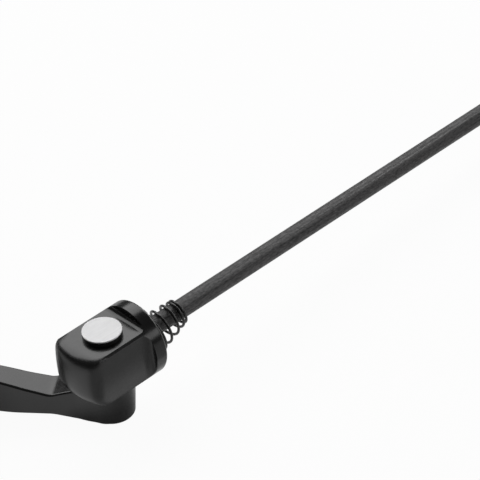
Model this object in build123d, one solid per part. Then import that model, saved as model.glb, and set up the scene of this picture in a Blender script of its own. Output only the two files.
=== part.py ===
from build123d import *
import math
import os

# Quick release skewer for a bicycle's rear wheel, with its cam inside the housing.
# The origin is on the rod's axis, in the plane of the lever side's clamping teeth.
# +X runs along the rod to the nut, and +Z runs along the lever's pivot to the capped side.
# The lever stands part-way between closed and open.

# Driving dimensions, in millimetres and degrees

# Rod
rod_diameter = 5.0
thread_diameter = 4.9
thread_start = 128.0
clamp_gap = 150.0
rod_end_proud = 0.8
rod_end_chamfer = 0.5

# Cam shaft and pivot
pivot_setback = 12.0
cam_throw = 1.1
cam_radius = 3.3
lower_journal_radius = 4.5
upper_journal_radius = 2.1
shaft_spigot_radius = 3.0
shaft_spigot_length = 7.5
lever_turn_from_closed = 38.0

# Housing
housing_half_height = 7.3
housing_half_width = 7.5
housing_end_reach = 11.5
housing_end_bulge_radius = 32.0
housing_end_plan_radius = 18.0
housing_brow_round = 2.1
housing_foot_round = 4.3
housing_corner_reach = 11.6
housing_corner_round = 4.0
housing_edge_round = 0.6
collar_radius = 10.1
collar_thickness = 3.6
collar_root_round = 1.4
collar_flank_round = 2.2
collar_face_round = 0.7

# Forged eye at the rod's cam end
eye_thickness = 4.6
eye_end_wall = 2.1
eye_side_wall = 1.2
eye_corner_round = 4.2
eye_shoulder_round = 3.0
eye_edge_round = 0.6
eye_neck_length = 4.0
pocket_corner_round = 4.0
pocket_edge_round = 1.2

# Cap over the pivot
cap_radius = 5.02
cap_height = 1.15
cap_plug_radius = 4.3
cap_plug_depth = 1.1
cap_disc_thickness = 0.33
cap_edge_round = 0.12

# Shaft retention and seal
washer_thickness = 0.3
washer_radius = 3.4
clip_thickness = 0.55
clip_radius = 3.5
clip_band = 0.9
clip_lug_width = 1.3
clip_mouth = 3.4
clip_groove_depth = 0.45
clip_land = 0.3
seal_section_radius = 0.36
seal_groove_depth = 0.72
seal_setback = 1.2

# Toothed clamp rings
ring_inner_radius = 6.9
ring_outer_radius = 9.1
ring_thickness = 2.0
ring_proud = 0.4
tooth_count = 30
tooth_depth = 0.3
tooth_plain_band = 0.5

# Centring springs
spring_wire_radius = 0.36
spring_wide_radius = 5.3
spring_narrow_radius = 3.2
spring_pitch = 2.67
spring_turns = 4.3
spring_standoff = 0.1
spring_seat_radius = 6.15
spring_seat_depth = 1.5

# Lever
hub_foot_radius = 5.4
hub_depth = 9.75
lever_draft = 4.0
hub_blend_round = 12.0
shoulder_reach = 8.6
saddle_reach = 14.5
bend_reach = 21.0
waist_reach = 28.0
lever_length = 58.0
root_half_width = 3.6
waist_half_width = 2.6
tip_half_width = 1.6
tip_bend = 6.0
saddle_drop = 1.8
waist_rise = 2.4
tip_rise = 3.9
underside_rise = 0.8
waist_underside_rise = 0.1
tip_underside_rise = 2.2
shoulder_round = 2.5
saddle_round = 7.0
underside_round = 14.0
blade_round = 60.0
tip_round = 4.5
lever_edge_round = 0.6

# Adjusting nut
nut_length = 12.5
nut_flange_radius = 9.9
nut_flange_thickness = 3.0
nut_waist_radius = 8.6
nut_end_radius = 6.4
nut_flute_count = 6
nut_flute_radius = 4.0
nut_flute_depth = 1.5
nut_flange_slope = 1.0
nut_edge_round = 0.5
insert_radius = 4.2
insert_depth = 2.6
insert_setback = 0.3

# Fits and clearances
running_clearance = 0.05
press_clearance = 0.02
seat_clearance = 0.02
eye_side_clearance = 0.15
eye_face_clearance = 0.3
cam_near_clearance = 0.1
cam_far_clearance = 0.65
lever_gap = 0.25
thrust_clearance = 0.05
shaft_end_clearance = 0.1

# Places that follow from the driving dimensions

rod_radius = rod_diameter / 2
thread_radius = thread_diameter / 2
rod_end = clamp_gap + nut_length + rod_end_proud
collar_face = -ring_proud
collar_back = collar_face - collar_thickness

lever_heading = 90 + lever_turn_from_closed
cam_heading = lever_heading + 90
cam_x = -pivot_setback + cam_throw * math.cos(math.radians(cam_heading))
cam_y = cam_throw * math.sin(math.radians(cam_heading))
closing_travel = 2 * cam_throw * lever_turn_from_closed / 180

slot_back = cam_x - cam_radius - cam_near_clearance
slot_front = cam_x + cam_radius + cam_far_clearance
slot_half_width = cam_throw + cam_radius + eye_side_clearance
eye_back = slot_back - eye_end_wall
eye_front = slot_front + eye_end_wall
eye_half_width = slot_half_width + eye_side_wall
pocket_back = eye_back - closing_travel - eye_face_clearance
pocket_half_width = eye_half_width + eye_side_clearance
pocket_half_height = rod_radius + eye_face_clearance

plug_seat = housing_half_height - cap_plug_depth
shaft_top = plug_seat - shaft_end_clearance
clip_top = shaft_top - clip_land
clip_bottom = clip_top - clip_thickness
washer_top = clip_bottom - thrust_clearance
washer_bottom = washer_top - washer_thickness
clip_pocket_floor = washer_bottom - thrust_clearance
clip_pocket_radius = clip_radius + eye_side_clearance
clip_groove_radius = upper_journal_radius - clip_groove_depth

hub_top = -housing_half_height - lever_gap
hub_bottom = hub_top - hub_depth
spigot_bottom = hub_top - shaft_spigot_length
seal_height = -housing_half_height + seal_setback


def bar(radius, start, end):
    """Round bar or bore along the rod's axis."""
    return Pos((start + end) / 2, 0, 0) * Rot(0, 90, 0) * Cylinder(radius, end - start)


def post(radius, bottom, top, x=-pivot_setback, y=0):
    """Round post or bore along Z, on the pivot unless told otherwise."""
    return Pos(x, y, (bottom + top) / 2) * Cylinder(radius, top - bottom)


def upright(sketch, bottom, top):
    """Prism between two heights of a sketch drawn in X and Y."""
    return extrude(Plane.XY.offset(bottom) * sketch, amount=top - bottom)


def crosswise(sketch, half_span):
    """Prism to both sides of the rod's axis of a sketch drawn in X and Z."""
    return extrude(Plane.XZ * sketch, amount=half_span, both=True)


def corners_at(sketch, x):
    """The sketch's corners at one X."""
    return [corner for corner in sketch.vertices() if abs(corner.X - x) < 1e-4]


def milled_outline(half_size, end, root_round):
    """Side or plan outline of the housing: flats milled back from the collar to a square end."""
    rim = collar_radius + root_round
    outline = make_face(
        Polyline(
            (end, half_size),
            (collar_back, half_size),
            (collar_back, rim),
            (collar_face, rim),
            (collar_face, -rim),
            (collar_back, -rim),
            (collar_back, -half_size),
            (end, -half_size),
            close=True,
        )
    )
    roots = [corner for corner in corners_at(outline, collar_back) if abs(corner.Y) < rim - 1e-4]
    return fillet(roots, root_round)


def turned_end():
    """Barrel that rounds the housing's end, and everything in front of the barrel's axis."""
    axis_x = housing_end_plan_radius - housing_end_reach - pivot_setback
    corner_drop = housing_end_bulge_radius - math.sqrt(housing_end_bulge_radius**2 - housing_half_height**2)
    corner_radius = housing_end_plan_radius - corner_drop
    profile = make_face(
        [
            Line((0, -housing_half_height), (corner_radius, -housing_half_height)),
            ThreePointArc(
                (corner_radius, -housing_half_height),
                (housing_end_plan_radius, 0),
                (corner_radius, housing_half_height),
            ),
            Line((corner_radius, housing_half_height), (0, housing_half_height)),
            Line((0, housing_half_height), (0, -housing_half_height)),
        ]
    )
    foot, brow = ShapeList(corners_at(profile, corner_radius)).sort_by(Axis.Y)
    profile = fillet(brow, housing_brow_round)
    profile = fillet(profile.vertices().sort_by_distance(foot)[0], housing_foot_round)
    barrel = revolve(Plane.XZ * profile, Axis.Z)
    front = Pos(housing_end_plan_radius, 0, 0) * Box(
        2 * housing_end_plan_radius, 4 * collar_radius, 4 * collar_radius
    )
    return Pos(axis_x, 0, 0) * (barrel + front)


def housing_block():
    """Turned collar with four flats milled behind it and a turned end, before it is bored."""
    rim = collar_radius + max(collar_root_round, collar_flank_round)
    square_end = -pivot_setback - housing_corner_reach
    side = milled_outline(housing_half_height, square_end - housing_corner_round, collar_root_round)
    plan = milled_outline(housing_half_width, square_end, collar_flank_round)
    plan = fillet(corners_at(plan, square_end), housing_corner_round)
    block = crosswise(side, rim) & upright(plan, -rim, rim) & turned_end()
    long_edges = [
        edge
        for edge in block.edges().filter_by(Axis.X)
        if abs(edge.center().Y) < rim - 1e-3 and abs(edge.center().Z) < rim - 1e-3
    ]
    block = fillet(long_edges, housing_edge_round)
    block = block & bar(collar_radius, -pivot_setback - 2 * housing_end_reach, 0)
    face_rim = block.edges().filter_by(GeomType.CIRCLE).group_by(Axis.X)[-1]
    return fillet(face_rim, collar_face_round)


def eye_pocket():
    """Space that the rod's eye slides in, open at the clamp face."""
    length = -pocket_back
    plan = Pos(pocket_back / 2, 0) * Rectangle(length, 2 * pocket_half_width)
    plan = fillet(corners_at(plan, pocket_back), pocket_corner_round)
    pocket = upright(plan, -pocket_half_height, pocket_half_height)
    return fillet(pocket.edges().filter_by(Axis.X), pocket_edge_round)


def cam_housing():
    """Housing block with its cam bores, eye pocket, cap recess, spring seat and ring groove."""
    housing = housing_block()
    housing -= eye_pocket()
    housing -= post(lower_journal_radius + running_clearance, -2 * housing_half_height, 0)
    housing -= post(upper_journal_radius + running_clearance, 0, 2 * housing_half_height)
    housing -= post(clip_pocket_radius, clip_pocket_floor, 2 * housing_half_height)
    housing -= post(cap_plug_radius + press_clearance, plug_seat, 2 * housing_half_height)
    housing -= bar(spring_seat_radius, -spring_seat_depth, 0)
    groove = bar(ring_outer_radius + press_clearance, -ring_thickness, 0)
    groove -= bar(ring_inner_radius - press_clearance, -ring_thickness, 0)
    return housing - groove


def clamp_ring():
    """Steel ring with radial teeth on the face at the origin, and a plain band inside them."""
    ring = bar(ring_outer_radius, -ring_thickness, 0) - bar(ring_inner_radius, -ring_thickness, 0)
    notch_start = ring_inner_radius + tooth_plain_band
    notch_length = ring_outer_radius - notch_start + tooth_depth
    notch_middle = notch_start + notch_length / 2
    notch = Rot(45, 0, 0) * Box(notch_length, tooth_depth * math.sqrt(2), tooth_depth * math.sqrt(2))
    notch = Rot(0, -90, 0) * Pos(notch_middle, 0, 0) * notch
    for index in range(tooth_count):
        ring -= Rot(360 * index / tooth_count, 0, 0) * notch
    return ring


def pivot_cap():
    """Plug pressed into the recess over the shaft's end, with a broad low head."""
    head = post(cap_radius, housing_half_height, housing_half_height + cap_height)
    return head + post(cap_plug_radius, plug_seat, housing_half_height)


def cap_disc():
    """Thin bright disc on the plug's head."""
    bottom = housing_half_height + cap_height
    disc = post(cap_radius, bottom, bottom + cap_disc_thickness)
    return fillet(disc.edges().group_by(Axis.Z)[-1], cap_edge_round)


def cam_shaft():
    """Stepped shaft with its eccentric between two journals, and a spigot for the lever's hub."""
    shaft = post(lower_journal_radius, hub_top, -pocket_half_height)
    shaft += post(cam_radius, -pocket_half_height, pocket_half_height, cam_x, cam_y)
    shaft += post(upper_journal_radius, pocket_half_height, shaft_top)
    shaft += post(shaft_spigot_radius, spigot_bottom, hub_top)
    shaft -= ring_groove(clip_groove_radius, upper_journal_radius, clip_bottom, clip_top)
    seal_half = seal_section_radius + thrust_clearance
    seal_floor = lower_journal_radius - seal_groove_depth
    shaft -= ring_groove(seal_floor, lower_journal_radius, seal_height - seal_half, seal_height + seal_half)
    return shaft


def ring_groove(floor_radius, outer_radius, bottom, top):
    """Ring to be cut from a shaft on the pivot."""
    return post(2 * outer_radius, bottom, top) - post(floor_radius, bottom, top)


def shaft_seal():
    """Rubber ring in the lower journal's groove."""
    center_radius = lower_journal_radius - seal_groove_depth + seal_section_radius
    return Pos(-pivot_setback, 0, seal_height) * Torus(center_radius, seal_section_radius)


def shaft_washer():
    """Thrust washer on the upper journal."""
    outer = post(washer_radius, washer_bottom, washer_top)
    return outer - post(upper_journal_radius + running_clearance, washer_bottom, washer_top)


def shaft_retaining_ring():
    """Open retaining ring with three lugs in the shaft's groove."""
    grip_radius = clip_groove_radius + press_clearance
    band = Circle(clip_radius) - Circle(clip_radius - clip_band)
    lug_length = clip_radius - clip_band / 2
    for turn in (90, 180, 270):
        band += Rot(0, 0, turn) * Pos(lug_length / 2, 0) * Rectangle(lug_length, clip_lug_width)
    band -= Circle(grip_radius)
    band -= Pos(clip_radius, 0) * Rectangle(2 * clip_radius, clip_mouth)
    thickness = clip_thickness - 2 * press_clearance
    ring = extrude(band, amount=thickness)
    return Pos(-pivot_setback, 0, clip_bottom + press_clearance) * Rot(0, 0, lever_heading) * ring


def lever_plan():
    """Lever's outline at its foot, along +X from its pivot, with the tip bent to one side."""
    tip = lever_length - tip_half_width
    taper = root_half_width - waist_half_width
    left_root = (0, root_half_width)
    left_waist = (bend_reach, waist_half_width)
    left_tip = (tip, tip_half_width - tip_bend)
    right_root = (0, -root_half_width)
    right_waist = (bend_reach, -waist_half_width)
    right_tip = (tip, -tip_half_width - tip_bend)
    left_bend = TangentArc(left_waist, left_tip, tangent=(bend_reach, -taper))
    right_bend = TangentArc(right_waist, right_tip, tangent=(bend_reach, taper))
    arm = make_face(
        [
            Line(left_root, left_waist),
            left_bend,
            TangentArc(left_tip, right_tip, tangent=left_bend % 1),
            right_bend,
            Line(right_waist, right_root),
            Line(right_root, left_root),
        ]
    )
    outline = arm + Circle(hub_foot_radius)
    hub_joins = [corner for corner in outline.vertices() if 0 < corner.X < hub_foot_radius]
    return fillet(hub_joins, hub_blend_round)


def lever_side():
    """Lever's outline from the side: hub, saddle beside the housing's end, and rising blade."""
    arm_bottom = hub_bottom + underside_rise
    waist_bottom = hub_bottom + waist_underside_rise
    tip_bottom = hub_bottom + tip_underside_rise
    past_tip = lever_length + tip_half_width
    rounded_corners = [
        ((shoulder_reach, hub_top), shoulder_round),
        ((saddle_reach, hub_top - saddle_drop), saddle_round),
        ((waist_reach, hub_top + waist_rise), blade_round),
        ((past_tip, hub_top + tip_rise), tip_round),
        ((past_tip, tip_bottom), tip_round),
        ((waist_reach, waist_bottom), blade_round),
        ((saddle_reach, arm_bottom), underside_round),
        ((hub_foot_radius, hub_bottom), underside_round),
    ]
    points = [point for point, radius in rounded_corners]
    hub_back = [(-2 * hub_foot_radius, hub_bottom), (-2 * hub_foot_radius, hub_top)]
    outline = make_face(Polyline(*points, *hub_back, close=True))
    for point, radius in rounded_corners:
        outline = fillet(outline.vertices().sort_by_distance(point)[0], radius)
    return outline


def is_seam(edge):
    """Whether an edge runs straight across or up the walls, where two faces meet smoothly."""
    headings = [edge % place for place in (0, 0.5, 1)]
    return all(max(abs(heading.Y), abs(heading.Z)) > 0.9 for heading in headings)


def rim_edges(body):
    """Edges where the walls of two crossed prisms meet, without the seams."""
    return [edge for edge in body.edges() if not is_seam(edge)]


def lever():
    """Forged lever with a blind bore in its hub for the cam shaft."""
    walls = extrude(Plane.XY.offset(hub_bottom) * lever_plan(), amount=-hub_bottom, taper=-lever_draft)
    body = crosswise(lever_side(), 2 * hub_foot_radius) & walls
    body = fillet(rim_edges(body), lever_edge_round)
    body = Pos(-pivot_setback, 0, 0) * Rot(0, 0, lever_heading) * body
    return body - post(shaft_spigot_radius + press_clearance, spigot_bottom - seat_clearance, 0)


def eye_plate():
    """Flattened end of the rod with an oblong hole that the cam turns in."""
    neck_end = eye_front + eye_neck_length
    neck_half_width = math.sqrt(rod_radius**2 - (eye_thickness / 2) ** 2)
    outline = make_face(
        Polyline(
            (eye_back, eye_half_width),
            (eye_front, eye_half_width),
            (neck_end, neck_half_width),
            (neck_end, -neck_half_width),
            (eye_front, -eye_half_width),
            (eye_back, -eye_half_width),
            close=True,
        )
    )
    outline = fillet(corners_at(outline, eye_back), eye_corner_round)
    outline = fillet(corners_at(outline, eye_front), eye_shoulder_round)
    plate = upright(outline, -eye_thickness / 2, eye_thickness / 2)
    plate_rims = [edge for edge in rim_edges(plate) if edge.center().X < neck_end - eye_neck_length / 2]
    plate = fillet(plate_rims, eye_edge_round)
    slot = Pos((slot_back + slot_front) / 2, 0) * RectangleRounded(
        slot_front - slot_back, 2 * slot_half_width, cam_radius
    )
    return plate - upright(slot, -eye_thickness, eye_thickness)


def skewer_rod():
    """Steel rod with the eye forged on one end and the thread's plain cylinder on the other."""
    rod = eye_plate() + bar(rod_radius, eye_front, thread_start)
    threaded = bar(thread_radius, thread_start, rod_end)
    threaded = chamfer(threaded.edges().group_by(Axis.X)[-1], rod_end_chamfer)
    return rod + threaded


def spring():
    """Conical spring that hangs loose on the rod, with its coils' tops in a line along the rod."""
    coil_height = spring_pitch * spring_turns
    taper = math.degrees(math.atan2(spring_wide_radius - spring_narrow_radius, coil_height))
    path = Helix(spring_pitch, coil_height, spring_wide_radius, cone_angle=-taper, lefthand=True)
    section = Plane(origin=path @ 0, z_dir=path % 0) * Circle(spring_wire_radius)
    coils = sweep(section, path=path, is_frenet=True)
    coils = Pos(spring_wide_radius, 0, 0) * Rot(0, 0, 180) * coils
    hang = rod_radius + running_clearance + spring_wire_radius
    return Pos(spring_standoff + spring_wire_radius, 0, hang) * Rot(0, 90 - taper, 0) * coils


def nut_side(piece):
    """Turn a piece of the lever side end for end and set it at the nut's clamp face."""
    return Pos(clamp_gap, 0, 0) * Rot(0, 0, 180) * piece


def nut_blank():
    """Turned nut from its clamp face at the origin, with finger flutes along its taper."""
    flange_back = ring_proud + nut_flange_thickness
    waist = flange_back + nut_flange_slope
    profile = make_face(
        Polyline(
            (ring_proud, 0),
            (ring_proud, nut_flange_radius),
            (flange_back, nut_flange_radius),
            (waist, nut_waist_radius),
            (nut_length, nut_end_radius),
            (nut_length, 0),
            close=True,
        )
    )
    profile = fillet([corner for corner in profile.vertices() if corner.Y > 0], nut_edge_round)
    blank = revolve(profile, Axis.X)
    taper = math.degrees(math.atan2(nut_waist_radius - nut_end_radius, nut_length - waist))
    flute_center = nut_waist_radius - nut_flute_depth + nut_flute_radius
    flute = Cylinder(nut_flute_radius, nut_length, align=(Align.CENTER, Align.CENTER, Align.MIN))
    flute = Pos(waist, 0, flute_center) * Rot(0, 90 + taper, 0) * flute
    for index in range(nut_flute_count):
        blank -= Rot(360 * index / nut_flute_count, 0, 0) * flute
    return blank


def adjusting_nut():
    """Nut with its bore, spring seat, ring groove and lock insert recess."""
    nut = nut_blank()
    nut -= bar(thread_radius + running_clearance, 0, 2 * nut_length)
    nut -= bar(spring_seat_radius, 0, spring_seat_depth)
    groove = bar(ring_outer_radius + press_clearance, 0, ring_thickness)
    groove -= bar(ring_inner_radius - press_clearance, 0, ring_thickness)
    nut -= groove
    nut -= bar(insert_radius, nut_length - insert_depth, 2 * nut_length)
    return Pos(clamp_gap, 0, 0) * nut


def nut_lock_insert():
    """Plastic ring that grips the thread at the nut's outer end."""
    start = nut_length - insert_depth + seat_clearance
    end = nut_length - insert_setback
    insert = bar(insert_radius - press_clearance, start, end)
    insert -= bar(thread_radius + running_clearance, start, end)
    return Pos(clamp_gap, 0, 0) * insert


def write_pieces():
    """Write every piece to a file of its own, named after it."""
    pieces = {
        "cam_housing": cam_housing(),
        "housing_clamp_ring": clamp_ring(),
        "pivot_cap": pivot_cap(),
        "cap_disc": cap_disc(),
        "lever": lever(),
        "cam_shaft": cam_shaft(),
        "shaft_seal": shaft_seal(),
        "shaft_washer": shaft_washer(),
        "shaft_retaining_ring": shaft_retaining_ring(),
        "skewer_rod": skewer_rod(),
        "inner_spring": spring(),
        "outer_spring": nut_side(spring()),
        "adjusting_nut": adjusting_nut(),
        "nut_clamp_ring": nut_side(clamp_ring()),
        "nut_lock_insert": nut_lock_insert(),
    }
    os.makedirs("parts", exist_ok=True)
    for name, piece in pieces.items():
        export_step(piece, f"parts/{name}.step")


write_pieces()
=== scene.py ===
import math

import bmesh
import bpy
from mathutils import Matrix, Vector


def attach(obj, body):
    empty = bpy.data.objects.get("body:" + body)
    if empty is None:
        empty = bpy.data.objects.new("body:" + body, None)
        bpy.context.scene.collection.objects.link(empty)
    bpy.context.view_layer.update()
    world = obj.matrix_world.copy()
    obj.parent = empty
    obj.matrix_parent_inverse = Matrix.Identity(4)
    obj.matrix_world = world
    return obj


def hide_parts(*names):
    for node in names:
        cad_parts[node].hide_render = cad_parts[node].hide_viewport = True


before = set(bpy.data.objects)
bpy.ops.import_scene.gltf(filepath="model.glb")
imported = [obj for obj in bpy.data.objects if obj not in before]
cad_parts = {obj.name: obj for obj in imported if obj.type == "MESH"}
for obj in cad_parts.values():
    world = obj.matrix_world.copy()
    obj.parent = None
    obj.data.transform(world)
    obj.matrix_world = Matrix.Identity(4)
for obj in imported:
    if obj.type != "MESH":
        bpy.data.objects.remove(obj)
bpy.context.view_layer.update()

# Sizes that repeat the solids', in metres like all others here

pivot_x = -0.012
clamp_gap = 0.15
thread_start = 0.128
thread_radius = 0.00245
thread_pitch = 0.0008
thread_depth = 0.0005
thread_runout = 0.0016
rod_end = 0.1633
rod_end_chamfer = 0.0005

# Shares of half a pitch that the thread's root and one flank take up

thread_root_share = 0.12
thread_flank_share = 0.7

# Centring springs: the wire, the cone that it is wound on, and where the first coil's top stands
# above the rod's axis and off the clamp face

wire_radius = 0.00036
spring_wide_radius = 0.0053
spring_narrow_radius = 0.0032
spring_cone_turns = 4.3
spring_cone_length = 0.01148
spring_hang = 0.00302
spring_standoff = 0.00046

# Corners of a profile are a place, the height there and the corner's rounding.
# For the springs these are turns and the place along the cone. The last coils close up.

spring_places = (
    (0, 0, 0),
    (1, 0.0025, 0),
    (2, 0.005, 0),
    (3, 0.00803, 0),
    (4, 0.01008, 0),
    (5, 0.0109, 0),
    (5.15, 0.01098, 0),
)

# Lever's profiles along its length from the pivot, as in its solid and as the photo shows them

lever_heading = math.radians(128)
solid_top = (
    (-0.02, -0.00755, 0),
    (0.0086, -0.00755, 0.0025),
    (0.0145, -0.00935, 0.007),
    (0.028, -0.00515, 0.06),
    (0.0596, -0.00365, 0),
)
shown_top = (
    (-0.02, -0.00755, 0),
    (0.0086, -0.00755, 0.0025),
    (0.0147, -0.00972, 0.004),
    (0.0215, -0.0081, 0.03),
    (0.028, -0.0059, 0.06),
    (0.0596, -0.00365, 0),
)
solid_bottom = (
    (-0.02, -0.0173, 0),
    (0.0054, -0.0173, 0.014),
    (0.0145, -0.0165, 0.014),
    (0.028, -0.0172, 0.06),
    (0.0596, -0.0151, 0),
)
shown_bottom = (
    (-0.02, -0.0173, 0),
    (0.0054, -0.0173, 0.014),
    (0.0148, -0.0162, 0.014),
    (0.028, -0.01715, 0.06),
    (0.0596, -0.0151, 0),
)

# How much wider the lever is on each side than its solid, and how much fuller its hub's back is
# at the bottom and at the top. What lies within the two cores stays or moves less.

added_half_width = (
    (0, 0, 0),
    (0.0035, 0.0007, 0.02),
    (0.0055, 0.0013, 0.01),
    (0.0085, 0.0008, 0.02),
    (0.012, 0.00065, 0.03),
    (0.021, 0.00045, 0.05),
    (0.056, 0, 0),
)
added_hub_radius = (0.0001, 0.0005)
width_core = 0.003
hub_core = 0.0042

# How the pieces are meshed and shaded

thread_sides = 48
thread_steps_per_turn = 10
wire_sides = 12
wire_steps_per_turn = 40
weld_distance = 1e-7
lever_crease = math.radians(35)
lever_shading_weight = 100
thread_crease = math.radians(35)
wire_crease = math.radians(50)

# Where the housing's paint lies in soft folds: from full to none along X and Z, and how wide

soft_end = (-0.0202, -0.0165)
soft_end_radius = 0.0034
soft_foot = (-0.005, -0.001)
soft_foot_radius = 0.0009
soft_samples = 8

# Camera of the photograph

camera_place = Vector((-0.2822, -0.37513, 0.37301))
camera_azimuth = math.radians(-40.202)
camera_elevation = math.radians(36.535)
camera_roll = math.radians(-5.882)
camera_lens = 180.73
camera_sensor = 36
camera_clip_start = 0.01

# Floor that the hub and the nut's flange lie on

floor_low_point = Vector((-0.0066, 0, -0.01733))
floor_high_point = Vector((0.1525, 0, -0.00992))
floor_half_size = 4.0
floor_grey = 0.9
floor_roughness = 0.9
floor_white_to_camera = 0.95

# Painted light on the floor that only reflections see, from near to far: a glowing strip along the
# rod, a long glowing patch in front of the housing, and painted shade round the hub that dims both

strip_middle = 0.005
strip_white = (0.6, 0.0)
strip_fade = (0.01, 0.031)
painted_patch_middle = (-0.005, -0.0187, 0)
painted_patch_stretch = (0.3, 1, 0)
painted_patch_white = (1.0, 0.0)
painted_patch_fade = (0.0022, 0.0068)
hub_middle = (pivot_x, 0, 0)
hub_stretch = (1, 1, 0)
hub_shade = (0.25, 1.0)
hub_fade = (0.009, 0.015)

# Studio: the room's grey, and each soft light's name, place, size and power in watts

room_grey = 0.1
lights_face = Vector((0.02, 0, 0))
soft_lights = (
    ("back_softbox", Vector((0.342, 0.715, 0.841)), (1.9, 0.81), 12.8),
    ("right_softbox", Vector((1.12, 0.1, 0.27)), (1.05, 0.45), 4.45),
    ("front_card", Vector((0.55, -0.78, 0.42)), (0.5, 0.3), 0.9),
)


def grey(level):
    """Colour without a hue."""
    return (level, level, level)


def clamped(value, low, high):
    """The value, kept between two limits."""
    return min(max(value, low), high)


def height_at(profile, along):
    """Height of a profile with rounded corners at a place along it."""
    spans = list(zip(profile, profile[1:]))
    slopes = [(there[1] - here[1]) / (there[0] - here[0]) for here, there in spans]
    if along <= profile[0][0]:
        return profile[0][1]
    height = profile[-1][1]
    for (here, there), slope in zip(spans, slopes):
        if here[0] <= along < there[0]:
            height = here[1] + slope * (along - here[0])
    for corner, before, after in zip(profile[1:-1], slopes, slopes[1:]):
        reach = corner[2] * abs(after - before) / 2
        inside = reach - abs(along - corner[0])
        if inside > 0:
            height += (after - before) * inside**2 / (4 * reach)
    return height


class Shader:
    """A material's node tree with a few shorthands for building it."""

    def __init__(self, name):
        self.material = bpy.data.materials.new(name)
        self.material.use_nodes = True
        self.nodes = self.material.node_tree.nodes
        self.links = self.material.node_tree.links
        self.surface = self.nodes["Principled BSDF"]
        self.place = self.nodes.new("ShaderNodeTexCoord").outputs["Object"]

    def axis(self, name):
        """One of the object coordinates."""
        node = self.nodes.new("ShaderNodeSeparateXYZ")
        self.links.new(self.place, node.inputs[0])
        return node.outputs[name]

    def stretched(self, scale):
        """Object coordinates with each axis scaled by itself."""
        node = self.nodes.new("ShaderNodeVectorMath")
        node.operation = "MULTIPLY"
        node.inputs[1].default_value = scale
        self.links.new(self.place, node.inputs[0])
        return node.outputs[0]

    def distance(self, point, scale):
        """Distance from a point, both taken in scaled coordinates."""
        node = self.nodes.new("ShaderNodeVectorMath")
        node.operation = "DISTANCE"
        node.inputs[1].default_value = [part * share for part, share in zip(point, scale)]
        self.links.new(self.stretched(scale), node.inputs[0])
        return node.outputs["Value"]

    def calculated(self, operation, *terms):
        """Result of a math node. Each term is a number or another node's output."""
        node = self.nodes.new("ShaderNodeMath")
        node.operation = operation
        for socket, term in zip(node.inputs, terms):
            if isinstance(term, float):
                socket.default_value = term
            else:
                self.links.new(term, socket)
        return node.outputs[0]

    def noise(self, scale, detail, stretch=None):
        """Cloudy noise from 0 to 1. The scale is in cycles per metre."""
        node = self.nodes.new("ShaderNodeTexNoise")
        node.inputs["Scale"].default_value = scale
        node.inputs["Detail"].default_value = detail
        place = self.stretched(stretch) if stretch else self.place
        self.links.new(place, node.inputs["Vector"])
        return node.outputs["Fac"]

    def ranged(self, value, low, high, start=0.3, end=0.7):
        """The value's band from start to end, spread between low and high.

        The usual band is where most of a noise lies.
        """
        node = self.nodes.new("ShaderNodeMapRange")
        node.inputs["From Min"].default_value = start
        node.inputs["From Max"].default_value = end
        node.inputs["To Min"].default_value = low
        node.inputs["To Max"].default_value = high
        self.links.new(value, node.inputs["Value"])
        return node.outputs["Result"]

    def blended(self, factor, first, second):
        """Colour between two others by a factor from 0 to 1."""
        node = self.nodes.new("ShaderNodeMix")
        node.data_type = "RGBA"
        node.inputs["A"].default_value = (*first, 1)
        node.inputs["B"].default_value = (*second, 1)
        self.links.new(factor, node.inputs["Factor"])
        return node.outputs["Result"]

    def bumped(self, height, depth, strength=1.0, over=None):
        """Relief of a real depth in metres, on the plain surface or over another normal."""
        node = self.nodes.new("ShaderNodeBump")
        node.inputs["Distance"].default_value = depth
        node.inputs["Strength"].default_value = strength
        self.links.new(height, node.inputs["Height"])
        if over is not None:
            self.links.new(over, node.inputs["Normal"])
        self.links.new(node.outputs["Normal"], self.surface.inputs["Normal"])

    def feed(self, socket, value):
        """Link a node's output to one of the surface's inputs."""
        self.links.new(value, self.surface.inputs[socket])


def housing_folds(shader):
    """Normal of the housing's skin, softened over its turned end and its lower edges."""
    end = shader.ranged(shader.axis("X"), soft_end_radius, 0, *soft_end)
    foot = shader.ranged(shader.axis("Z"), soft_foot_radius, 0, *soft_foot)
    edges = shader.nodes.new("ShaderNodeBevel")
    edges.samples = soft_samples
    shader.links.new(shader.calculated("MAXIMUM", end, foot), edges.inputs["Radius"])
    return edges.outputs["Normal"]


def painted_black(name, level, roughness, peel_depth, folds=None):
    """Black paint with a slight orange peel and a drift in its tone and gloss."""
    shader = Shader(name)
    tone = shader.ranged(shader.noise(scale=90, detail=4), 0, 1)
    shader.feed("Base Color", shader.blended(tone, grey(0.8 * level), grey(1.2 * level)))
    cloud = shader.noise(scale=350, detail=5)
    gloss = shader.ranged(cloud, low=0.85 * roughness, high=1.2 * roughness)
    shader.feed("Roughness", gloss)
    peel = shader.noise(scale=2600, detail=2)
    shader.bumped(peel, peel_depth, over=folds(shader) if folds else None)
    return shader.material


def drawn_black_steel():
    """Black finish on drawn rod: a dull, mottled skin with faint lengthwise draw lines."""
    shader = Shader("drawn_black_steel")
    mottle = shader.noise(scale=2600, detail=5, stretch=(0.35, 1, 1))
    lines = shader.noise(scale=2200, detail=4, stretch=(0.03, 1, 1))
    line_part = shader.calculated("MULTIPLY", lines, 0.45)
    mixed = shader.calculated("MULTIPLY_ADD", mottle, 0.55, line_part)
    tone = shader.ranged(mixed, 0, 1, start=0.36, end=0.66)
    dark, light = (0.013, 0.0125, 0.0127), (0.085, 0.082, 0.083)
    shader.feed("Base Color", shader.blended(tone, dark, light))
    shader.feed("Roughness", shader.ranged(mottle, low=0.62, high=0.42))
    shader.bumped(mixed, depth=0.00006, strength=0.7)
    return shader.material


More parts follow.
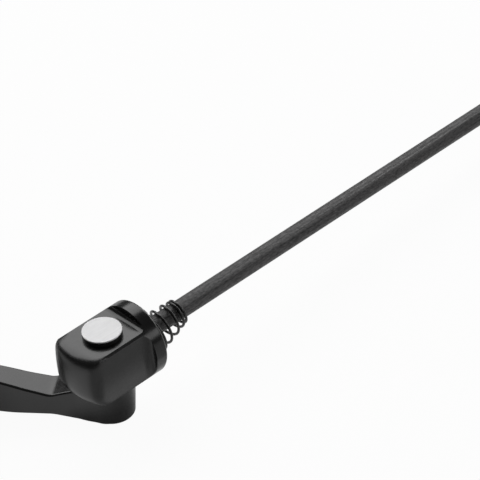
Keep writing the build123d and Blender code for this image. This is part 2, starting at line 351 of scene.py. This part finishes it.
def metal(name, dark, light, gloss, grain=1800, stretch=(1, 1, 1)):
    """Plain metal with a machining grain. The gloss is its least and most roughness."""
    shader = Shader(name)
    lines = shader.noise(scale=grain, detail=4, stretch=stretch)
    shader.feed("Base Color", shader.blended(shader.ranged(lines, 0, 1), dark, light))
    shader.feed("Roughness", shader.ranged(lines, *gloss))
    shader.bumped(lines, depth=0.00001, strength=0.5)
    shader.surface.inputs["Metallic"].default_value = 1.0
    return shader.material


def plastic(name, dark, light, roughness, grain_depth):
    """Moulded plastic or rubber with a fine even grain."""
    shader = Shader(name)
    cloud = shader.ranged(shader.noise(scale=400, detail=3), 0, 1)
    shader.feed("Base Color", shader.blended(cloud, dark, light))
    sheen = shader.noise(scale=900, detail=3)
    gloss = shader.ranged(sheen, low=0.9 * roughness, high=1.1 * roughness)
    shader.feed("Roughness", gloss)
    shader.bumped(shader.noise(scale=5000, detail=2), grain_depth)
    return shader.material


def disc_face():
    """Pale satin disc with fine brush lines and a faint mottle."""
    shader = Shader("disc_face")
    lines = shader.noise(scale=5200, detail=4, stretch=(0.05, 1, 1))
    dark, light = (0.78, 0.78, 0.785), (0.86, 0.86, 0.865)
    shader.feed("Base Color", shader.blended(shader.ranged(lines, 0, 1), dark, light))
    mottle = shader.noise(scale=1500, detail=3)
    shader.feed("Roughness", shader.ranged(mottle, low=0.42, high=0.55))
    shader.bumped(lines, depth=0.000008, strength=0.6)
    shader.surface.inputs["Metallic"].default_value = 0.15
    return shader.material


def dress_nodes():
    """Give every CAD node its material."""
    ring_steel = metal("ring_steel", grey(0.03), grey(0.09), gloss=(0.3, 0.5))
    spring_wire = metal("spring_wire", grey(0.045), grey(0.08), gloss=(0.24, 0.36))
    looks = {
        "cam_housing": painted_black(
            "housing_paint",
            level=0.007,
            roughness=0.2,
            peel_depth=0.000003,
            folds=housing_folds,
        ),
        "housing_clamp_ring": ring_steel,
        "pivot_cap": plastic(
            "cap_black",
            dark=grey(0.012),
            light=grey(0.018),
            roughness=0.35,
            grain_depth=0.000003,
        ),
        "cap_disc": disc_face(),
        "lever": painted_black("lever_paint", level=0.008, roughness=0.2, peel_depth=0.000004),
        "cam_shaft": metal(
            "shaft_steel",
            dark=(0.38, 0.38, 0.39),
            light=(0.55, 0.55, 0.56),
            gloss=(0.2, 0.32),
            grain=900,
            stretch=(1, 1, 12),
        ),
        "shaft_seal": plastic(
            "seal_rubber",
            dark=grey(0.012),
            light=grey(0.02),
            roughness=0.6,
            grain_depth=0.000005,
        ),
        "shaft_washer": metal(
            "washer_brass",
            dark=(0.6, 0.42, 0.18),
            light=(0.75, 0.56, 0.28),
            gloss=(0.25, 0.38),
        ),
        "shaft_retaining_ring": metal(
            "clip_steel",
            dark=(0.2, 0.2, 0.21),
            light=(0.32, 0.32, 0.33),
            gloss=(0.28, 0.4),
        ),
        "skewer_rod": drawn_black_steel(),
        "inner_spring": spring_wire,
        "outer_spring": spring_wire,
        "adjusting_nut": painted_black(
            "nut_paint",
            level=0.013,
            roughness=0.26,
            peel_depth=0.000006,
        ),
        "nut_clamp_ring": ring_steel,
        "nut_lock_insert": plastic(
            "insert_plastic",
            dark=grey(0.025),
            light=grey(0.035),
            roughness=0.45,
            grain_depth=0.000005,
        ),
    }
    for name, material in looks.items():
        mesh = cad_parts[name].data
        mesh.materials.clear()
        mesh.materials.append(material)


def placed(name, data):
    """New object in the scene for a mesh, a light or a camera."""
    thing = bpy.data.objects.new(name, data)
    bpy.context.scene.collection.objects.link(thing)
    return thing


def welded(mesh):
    """A mesh opened for editing, with the points of its split edges joined."""
    shape = bmesh.new()
    shape.from_mesh(mesh)
    bmesh.ops.remove_doubles(shape, verts=shape.verts, dist=weld_distance)
    return shape


def tube(name, rings, material, crease):
    """Closed tube through rings of points, shaded smooth up to a crease."""
    shape = bmesh.new()
    loops = [[shape.verts.new(point) for point in ring] for ring in rings]
    sides = len(rings[0])
    for here, there in zip(loops, loops[1:]):
        for side in range(sides):
            after = (side + 1) % sides
            shape.faces.new((here[side], here[after], there[after], there[side]))
    shape.faces.new(reversed(loops[0]))
    shape.faces.new(loops[-1])
    bmesh.ops.recalc_face_normals(shape, faces=shape.faces)
    mesh = bpy.data.meshes.new(name)
    shape.to_mesh(mesh)
    shape.free()
    mesh.materials.append(bpy.data.materials[material])
    mesh.shade_smooth()
    mesh.set_sharp_from_angle(angle=crease)
    return placed(name, mesh)


def plain_rod():
    """Copy of the rod's solid, cut off where its thread begins."""
    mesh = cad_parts["skewer_rod"].data.copy()
    rod = placed("rod_shank", mesh)
    shape = welded(mesh)
    cut = bmesh.ops.bisect_plane(
        shape,
        geom=shape.verts[:] + shape.edges[:] + shape.faces[:],
        plane_co=(thread_start, 0, 0),
        plane_no=(1, 0, 0),
        clear_outer=True,
    )
    rim = [item for item in cut["geom_cut"] if isinstance(item, bmesh.types.BMEdge)]
    bmesh.ops.contextual_create(shape, geom=rim)
    shape.to_mesh(mesh)
    shape.free()
    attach(rod, "rod")
    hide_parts("skewer_rod")


def fuller(along, aside, height):
    """A point of the lever's solid, moved to where the photo shows the lever's skin."""
    top, bottom = height_at(solid_top, along), height_at(solid_bottom, along)
    share = clamped((height - bottom) / (top - bottom), 0, 1)
    height += share * (height_at(shown_top, along) - top)
    height += (1 - share) * (height_at(shown_bottom, along) - bottom)
    aside += height_at(added_half_width, along) * clamped(aside / width_core, -1, 1)
    radius = math.hypot(along, aside)
    if along < 0 and radius > hub_core:
        low, high = added_hub_radius
        added = low + share * (high - low)
        added *= -along / radius
        along *= 1 + added / radius
        aside *= 1 + added / radius
    return Vector((along, aside, height))


def full_lever():
    """Copy of the lever's solid with a fuller root, a lower waist and a sharper saddle."""
    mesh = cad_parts["lever"].data.copy()
    lever = placed("lever_arm", mesh)
    outward = Matrix.Translation((pivot_x, 0, 0)) @ Matrix.Rotation(lever_heading, 4, "Z")
    inward = outward.inverted()
    shape = welded(mesh)
    for vertex in shape.verts:
        vertex.co = outward @ fuller(*(inward @ vertex.co))
    shape.to_mesh(mesh)
    shape.free()
    if "custom_normal" in mesh.attributes:
        mesh.attributes.remove(mesh.attributes["custom_normal"])
    mesh.shade_smooth()
    mesh.set_sharp_from_angle(angle=lever_crease)
    evened = lever.modifiers.new("evened_shading", "WEIGHTED_NORMAL")
    evened.weight = lever_shading_weight
    evened.keep_sharp = True
    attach(lever, "lever")
    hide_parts("lever")


def thread_height(turns_along):
    """Share of the thread's depth along one turn: flat crest, sloped flanks, narrow root."""
    from_root = abs(2 * (turns_along % 1) - 1)
    return clamped((from_root - thread_root_share) / thread_flank_share, 0, 1)


def threaded_end():
    """Rolled thread on the rod's end, with a runout at its start and a chamfer at its tip."""
    length = rod_end - thread_start
    steps = round(length / thread_pitch * thread_steps_per_turn)
    rings = []
    for step in range(steps + 1):
        along = length * step / steps
        runout = min(along / thread_runout, 1)
        chamfer = max(rod_end_chamfer - (length - along), 0)
        ring = []
        for side in range(thread_sides):
            share = side / thread_sides
            cut = thread_depth * runout * (1 - thread_height(along / thread_pitch - share))
            radius = thread_radius - max(cut, chamfer)
            angle = 2 * math.pi * share
            y, z = radius * math.cos(angle), radius * math.sin(angle)
            ring.append((thread_start + along, y, z))
        rings.append(ring)
    thread = tube("rod_thread", rings, "drawn_black_steel", thread_crease)
    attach(thread, "rod")


def spring_point(turn):
    """Middle of a spring's wire after some turns. The coils' tops lie along the rod."""
    taper = math.atan2(spring_wide_radius - spring_narrow_radius, spring_cone_length)
    cone = min(turn / spring_cone_turns, 1)
    radius = spring_wide_radius + cone * (spring_narrow_radius - spring_wide_radius)
    angle = 2 * math.pi * turn
    x = spring_wide_radius - radius * math.cos(angle)
    y = radius * math.sin(angle)
    standing = Vector((x, y, height_at(spring_places, turn)))
    lying = Matrix.Rotation(math.pi / 2 - taper, 3, "Y") @ standing
    return lying + Vector((spring_standoff, 0, spring_hang))


def wire_ring(turn, small):
    """Points round a spring's wire after some turns, square to its run."""
    middle = spring_point(turn)
    ahead = (spring_point(turn + small) - spring_point(turn - small)).normalized()
    outward = ahead.cross(Vector((1, 0, 0))).normalized()
    beside = ahead.cross(outward)
    ring = []
    for side in range(wire_sides):
        angle = 2 * math.pi * side / wire_sides
        ring.append(middle + wire_radius * (math.cos(angle) * outward + math.sin(angle) * beside))
    return ring


def coil_spring(name, node, body, side_of_wheel):
    """Wound spring whose last coil closes up, in place of a solid with an even pitch."""
    turns = spring_places[-1][0]
    steps = round(turns * wire_steps_per_turn)
    small = 1 / (4 * wire_steps_per_turn)
    rings = []
    for step in range(steps + 1):
        ring = wire_ring(turns * step / steps, small)
        rings.append([side_of_wheel @ point for point in ring])
    spring = tube(name, rings, "spring_wire", wire_crease)
    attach(spring, body)
    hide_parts(node)


def painted_reflection_glow(shader):
    """Painted glow that reflections see on the floor: a strip and a patch, dimmed by painted shade
    round the hub.
    """
    across = shader.calculated("SUBTRACT", shader.axis("Y"), strip_middle)
    strip = shader.ranged(shader.calculated("ABSOLUTE", across), *strip_white, *strip_fade)
    # The card here is a painted white patch on the floor that glows in reflections, not a real
    # card
    card = shader.ranged(shader.distance(painted_patch_middle, painted_patch_stretch), *painted_patch_white, *painted_patch_fade)
    # Painted shade round the hub's foot, dimming the painted glow
    shade = shader.ranged(shader.distance(hub_middle, hub_stretch), *hub_shade, *hub_fade)
    lit = shader.calculated("MAXIMUM", strip, card)
    return shader.calculated("MULTIPLY", lit, shade)


def white_floor():
    """Dull pale floor that is nearly white to the camera, with a painted glow and painted shade
    that only reflections see.
    """
    shader = Shader("floor_white")
    shader.surface.inputs["Base Color"].default_value = (*grey(floor_grey), 1)
    shader.surface.inputs["Roughness"].default_value = floor_roughness
    shader.surface.inputs["Specular IOR Level"].default_value = 0.0
    white = shader.nodes.new("ShaderNodeEmission")
    white.inputs["Strength"].default_value = 1.0
    ray = shader.nodes.new("ShaderNodeLightPath").outputs
    bent = shader.calculated("ADD", ray["Is Glossy Ray"], ray["Is Transmission Ray"])
    mirrored = shader.calculated("MULTIPLY", bent, painted_reflection_glow(shader))
    direct = ray["Is Camera Ray"]
    share = shader.calculated("MULTIPLY_ADD", direct, floor_white_to_camera, mirrored)
    mix = shader.nodes.new("ShaderNodeMixShader")
    shader.links.new(share, mix.inputs["Fac"])
    shader.links.new(shader.surface.outputs[0], mix.inputs[1])
    shader.links.new(white.outputs[0], mix.inputs[2])
    shader.links.new(mix.outputs[0], shader.nodes["Material Output"].inputs["Surface"])
    return shader.material


def stage_surface():
    """Large floor that slopes from the hub's foot up to the nut's flange."""
    along = (floor_high_point - floor_low_point).normalized()
    middle = (floor_low_point + floor_high_point) / 2
    corners = []
    for x, y in ((-1, -1), (1, -1), (1, 1), (-1, 1)):
        sideways = Vector((0, floor_half_size * y, 0))
        corners.append(middle + floor_half_size * x * along + sideways)
    mesh = bpy.data.meshes.new("floor")
    mesh.from_pydata(corners, [], [(0, 1, 2, 3)])
    mesh.materials.append(white_floor())
    floor = placed("floor", mesh)


def studio():
    """Dim room with a large softbox behind the part, one to its right and a card in front."""
    world = bpy.data.worlds.new("room")
    world.use_nodes = True
    room = world.node_tree.nodes["Background"]
    room.inputs["Color"].default_value = (*grey(room_grey), 1)
    room.inputs["Strength"].default_value = 1.0
    bpy.context.scene.world = world
    for name, place, size, power in soft_lights:
        light = bpy.data.lights.new(name, "AREA")
        light.shape = "RECTANGLE"
        light.size, light.size_y = size
        light.energy = power
        turned = (lights_face - place).to_track_quat("-Z", "Y").to_matrix().to_4x4()
        placed(name, light).matrix_world = Matrix.Translation(place) @ turned


def photo_camera():
    """Camera that stands where the photograph's did."""
    camera = bpy.data.cameras.new("photo_camera")
    camera.sensor_fit = "HORIZONTAL"
    camera.sensor_width = camera_sensor
    camera.lens = camera_lens
    camera.clip_start = camera_clip_start
    holder = placed("photo_camera", camera)
    turn = Matrix.Rotation(camera_azimuth, 4, "Z")
    tilt = Matrix.Rotation(math.pi / 2 - camera_elevation, 4, "X")
    roll = Matrix.Rotation(camera_roll, 4, "Z")
    holder.matrix_world = Matrix.Translation(camera_place) @ turn @ tilt @ roll
    bpy.context.scene.camera = holder


dress_nodes()
plain_rod()
full_lever()
threaded_end()
coil_spring("inner_coil", "inner_spring", "rod", Matrix())
nut_side = Matrix.Translation((clamp_gap, 0, 0)) @ Matrix.Rotation(math.pi, 4, "Z")
coil_spring("outer_coil", "outer_spring", "outer_spring", nut_side)
stage_surface()
studio()
photo_camera()
bpy.context.scene.view_settings.view_transform = "Standard"
